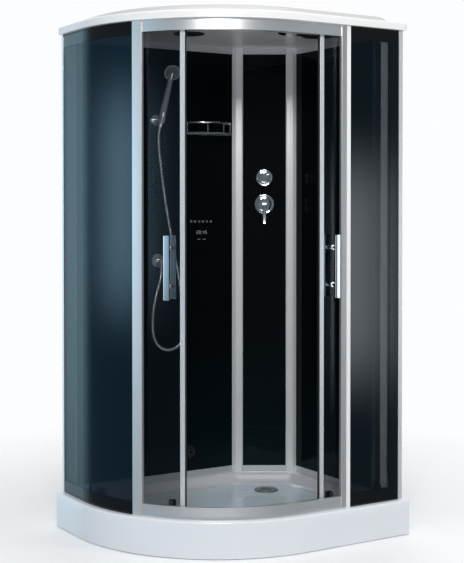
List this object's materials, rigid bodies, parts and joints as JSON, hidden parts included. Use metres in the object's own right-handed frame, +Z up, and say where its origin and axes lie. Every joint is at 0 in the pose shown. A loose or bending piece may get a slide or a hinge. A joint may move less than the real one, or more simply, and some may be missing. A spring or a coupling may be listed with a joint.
{
  "type": "steam shower cabin",
  "caption": "Quadrant steam shower cabin with a white tray and roof, black glass walls, a bowed tinted front with sliding doors, hand shower, mixer and steam outlet.",
  "frame": {"origin": "middle of the tray's footprint, on the floor under the feet", "axes": "+Z up; +Y towards the long rear wall; +X towards the side wall, so the bowed front faces -X and -Y"},
  "size_m": [1.2, 0.9, 2.165],
  "materials": {
    "white_gloss": "glossy",
    "white_acrylic": "glossy",
    "zinc_steel": "zinc plated",
    "black_rubber": "matte",
    "grey_plastic": "matte",
    "chrome": "polished",
    "satin_aluminium": "satin anodised",
    "silver_aluminium": "bright silver",
    "tinted_glass": "dark tinted",
    "black_glass": "black back-painted",
    "ceiling_grey": "satin",
    "dark_grille": "matte",
    "opal": "translucent",
    "brass": "machined",
    "copper_pipe": "drawn tube",
    "black_nylon": "matte",
    "white_nylon": "matte",
    "stainless": "brushed",
    "clear_shelf": "clear"
  },
  "bodies": {
    "cabin": {"tray": "white_acrylic", "tray_frame": "zinc_steel", "levelling_feet": "zinc_steel", "drain_trap": "grey_plastic", "bottom_rail": "satin_aluminium", "top_rail": "satin_aluminium", "left_post": "silver_aluminium", "right_post": "silver_aluminium", "left_fixed_glass": "tinted_glass", "right_fixed_glass": "tinted_glass", "edge_profiles": "silver_aluminium", "rear_wall_panel": "black_glass", "side_wall_panel": "black_glass", "corner_panel": "black_glass", "rear_wall_frame": "satin_aluminium", "side_wall_frame": "satin_aluminium", "corner_frame": "satin_aluminium", "left_column": "satin_aluminium", "right_column": "satin_aluminium", "roof": "white_gloss", "ceiling_panel": "ceiling_grey", "ceiling_grilles": "dark_grille", "ceiling_light": "opal", "rain_head": "chrome", "fan_housing": "grey_plastic", "valve_body": "brass", "mixer_plate": "chrome", "diverter_plate": "chrome", "supply_pipes": "copper_pipe", "outlet_pipes": "copper_pipe", "hose_outlet": "chrome", "shower_holder": "chrome", "shower_hose": "stainless", "steam_generator": "stainless", "steam_pipe": "copper_pipe", "steam_outlet": "chrome", "control_panel": "black_glass", "control_box": "grey_plastic", "shelf": "clear_shelf", "shelf_rail": "chrome"},
    "left_door": {"left_door_glass": "tinted_glass", "left_door_edge": "silver_aluminium", "left_door_seals": "black_rubber", "left_door_handle": "chrome", "left_door_hangers": "black_nylon"},
    "left_lead_wheel": {"left_lead_wheel": "white_nylon"},
    "left_trail_wheel": {"left_trail_wheel": "white_nylon"},
    "right_door": {"right_door_glass": "tinted_glass", "right_door_edge": "silver_aluminium", "right_door_seals": "black_rubber", "right_door_handle": "chrome", "right_door_hangers": "black_nylon"},
    "right_lead_wheel": {"right_lead_wheel": "white_nylon"},
    "right_trail_wheel": {"right_trail_wheel": "white_nylon"},
    "drain_cover": {"drain_cover": "chrome"},
    "fan_rotor": {"fan_rotor": "black_nylon"},
    "mixer_cap": {"mixer_cap": "chrome"},
    "mixer_lever": {"mixer_lever": "chrome"},
    "diverter_knob": {"diverter_knob": "chrome"},
    "handset": {"handset": "chrome"}
  },
  "joints": [
    {"name": "left_door_slide", "type": "hinge", "parent": "cabin", "child": "left_door", "pos_m": [0.085, 0.235, 1], "axis": [0, 0, 1], "range_deg": [-5, 25.7]},
    {"name": "right_door_slide", "type": "hinge", "parent": "cabin", "child": "right_door", "pos_m": [0.25, 1.85623, 1], "axis": [0, 0, 1], "range_deg": [-6.81, 0.3]},
    {"name": "left_lead_wheel_spin", "type": "hinge", "parent": "left_door", "child": "left_lead_wheel", "pos_m": [-0.37634, -0.17771, 2.078], "axis": [-0.7453, -0.6667, 0], "range_deg": [-1592.8, 311.5]},
    {"name": "left_trail_wheel_spin", "type": "hinge", "parent": "left_door", "child": "left_trail_wheel", "pos_m": [-0.52746, 0.14522, 2.078], "axis": [-0.9894, -0.145, 0], "range_deg": [-1592.8, 311.5]},
    {"name": "right_lead_wheel_spin", "type": "hinge", "parent": "right_door", "child": "right_lead_wheel", "pos_m": [0.23149, -0.38392, 2.078], "axis": [-0.0083, -1, 0], "range_deg": [-69.2, 1527.6]},
    {"name": "right_trail_wheel_spin", "type": "hinge", "parent": "right_door", "child": "right_trail_wheel", "pos_m": [0.48547, -0.37159, 2.078], "axis": [0.1051, -0.9945, 0], "range_deg": [-69.2, 1527.6]},
    {"name": "mixer_swivel", "type": "hinge", "parent": "cabin", "child": "mixer_cap", "pos_m": [0.36852, 0.304, 1.382], "axis": [-0.5201, -0.8541, 0], "range_deg": [-45, 45]},
    {"name": "mixer_tilt", "type": "hinge", "parent": "mixer_cap", "child": "mixer_lever", "pos_m": [0.36488, 0.29802, 1.382], "axis": [-0.8541, 0.5201, 0], "range_deg": [0, 24]},
    {"name": "diverter_turn", "type": "hinge", "parent": "cabin", "child": "diverter_knob", "pos_m": [0.36956, 0.30571, 1.504], "axis": [-0.5201, -0.8541, 0], "range_deg": [-60, 60]},
    {"name": "fan_spin", "type": "hinge", "parent": "cabin", "child": "fan_rotor", "pos_m": [0.35, -0.13, 2.114], "axis": [0, 0, 1], "continuous": true},
    {"name": "handset_lift", "type": "slide", "parent": "cabin", "child": "handset", "axis": [0.1095, -0.2607, 0.9592], "range_m": [0, 0.06]},
    {"name": "cover_lift", "type": "slide", "parent": "cabin", "child": "drain_cover", "axis": [0, 0, 1], "range_m": [0, 0.04]}
  ],
  "couplings": [
    {"joint": "left_lead_wheel_spin", "follows": "left_door_slide", "ratio": -61.9},
    {"joint": "left_trail_wheel_spin", "follows": "left_door_slide", "ratio": -61.9},
    {"joint": "right_lead_wheel_spin", "follows": "right_door_slide", "ratio": -224.02},
    {"joint": "right_trail_wheel_spin", "follows": "right_door_slide", "ratio": -224.02}
  ]
}
